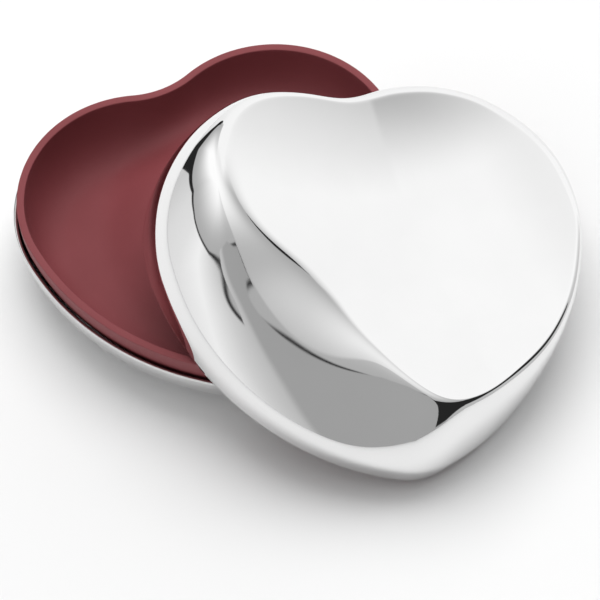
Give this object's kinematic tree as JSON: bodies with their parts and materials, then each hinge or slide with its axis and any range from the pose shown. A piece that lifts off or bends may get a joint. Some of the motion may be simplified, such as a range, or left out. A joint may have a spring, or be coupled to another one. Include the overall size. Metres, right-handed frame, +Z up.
{
  "type": "music box",
  "caption": "Heart-shaped wind-up music box in polished steel with a burgundy liner; its sculpted lid is lifted off and leans on the base.",
  "frame": {"origin": "on the felt pad's underside, on the heart's middle line, 36 mm from the lobe centres towards the tip", "axes": "+Z up; the heart's tip points to -Y; +X is the side the lid leans out over"},
  "size_m": [0.177, 0.1717, 0.0788],
  "materials": {
    "polished_steel": "mirror polished",
    "burgundy_plastic": "satin moulded",
    "felt": "felt",
    "satin_steel": "satin",
    "blued_steel": "heat blued",
    "brass": "satin"
  },
  "bodies": {
    "base": {"base_shell": "polished_steel", "base_pad": "felt", "liner": "burgundy_plastic", "bedplate": "brass", "plate_spacer_1": "satin_steel", "plate_spacer_2": "satin_steel", "plate_spacer_3": "satin_steel", "plate_screw_1": "satin_steel", "plate_screw_2": "satin_steel", "plate_screw_3": "satin_steel", "barrel_bridge": "brass", "bridge_post_1": "brass", "bridge_post_2": "brass", "bridge_screw_1": "satin_steel", "bridge_screw_2": "satin_steel", "click_screw": "satin_steel", "bearing_left": "brass", "bearing_right": "brass", "comb": "satin_steel", "comb_block": "brass", "comb_screw_1": "satin_steel", "comb_screw_2": "satin_steel", "governor_bracket": "brass", "stop_pivot": "satin_steel"},
    "lid": {"lid_shell": "polished_steel", "lid_liner": "burgundy_plastic"},
    "key": {"winding_key": "satin_steel", "winding_arbor": "satin_steel", "ratchet_wheel": "satin_steel"},
    "barrel": {"spring_barrel": "brass", "barrel_cap": "brass", "mainspring": "blued_steel"},
    "cylinder": {"tune_cylinder": "brass", "cylinder_arbor": "satin_steel", "cylinder_gear": "brass", "governor_gear": "brass"},
    "wheel": {"governor_wheel": "brass"},
    "fly": {"air_brake": "satin_steel"},
    "click": {"click": "blued_steel"},
    "stop": {"stop_lever": "satin_steel"}
  },
  "joints": [
    {"name": "lid_lift", "type": "slide", "parent": "base", "child": "lid", "axis": [0, 0, 1], "range_m": [0, 0.08]},
    {"name": "key_wind", "type": "hinge", "parent": "base", "child": "key", "pos_m": [-0.002, 0.02, 0.002], "axis": [0, 0, 1], "continuous": true},
    {"name": "cylinder_turn", "type": "hinge", "parent": "base", "child": "cylinder", "pos_m": [0.02, 0.02, 0.0124], "axis": [1, 0, 0], "continuous": true},
    {"name": "barrel_turn", "type": "hinge", "parent": "base", "child": "barrel", "pos_m": [-0.002, 0.02, 0.007], "axis": [0, 0, 1], "continuous": true},
    {"name": "wheel_turn", "type": "hinge", "parent": "base", "child": "wheel", "pos_m": [0.034, 0.0245, 0.0112], "axis": [1, 0, 0], "continuous": true},
    {"name": "fly_spin", "type": "hinge", "parent": "base", "child": "fly", "pos_m": [0.0363, 0.0281, 0.011], "axis": [0, 0, 1], "continuous": true},
    {"name": "click_pivot", "type": "hinge", "parent": "base", "child": "click", "pos_m": [-0.0096, 0.022, 0.011], "axis": [0, 0, 1], "range_deg": [-10, 0]},
    {"name": "stop_swing", "type": "hinge", "parent": "base", "child": "stop", "pos_m": [0.023, 0.031, 0.0034], "axis": [0, 0, 1], "range_deg": [-7, 0]}
  ],
  "couplings": [
    {"joint": "barrel_turn", "follows": "cylinder_turn", "ratio": 0.25},
    {"joint": "wheel_turn", "follows": "cylinder_turn", "ratio": -2.5714},
    {"joint": "fly_spin", "follows": "cylinder_turn", "ratio": 20.571}
  ]
}
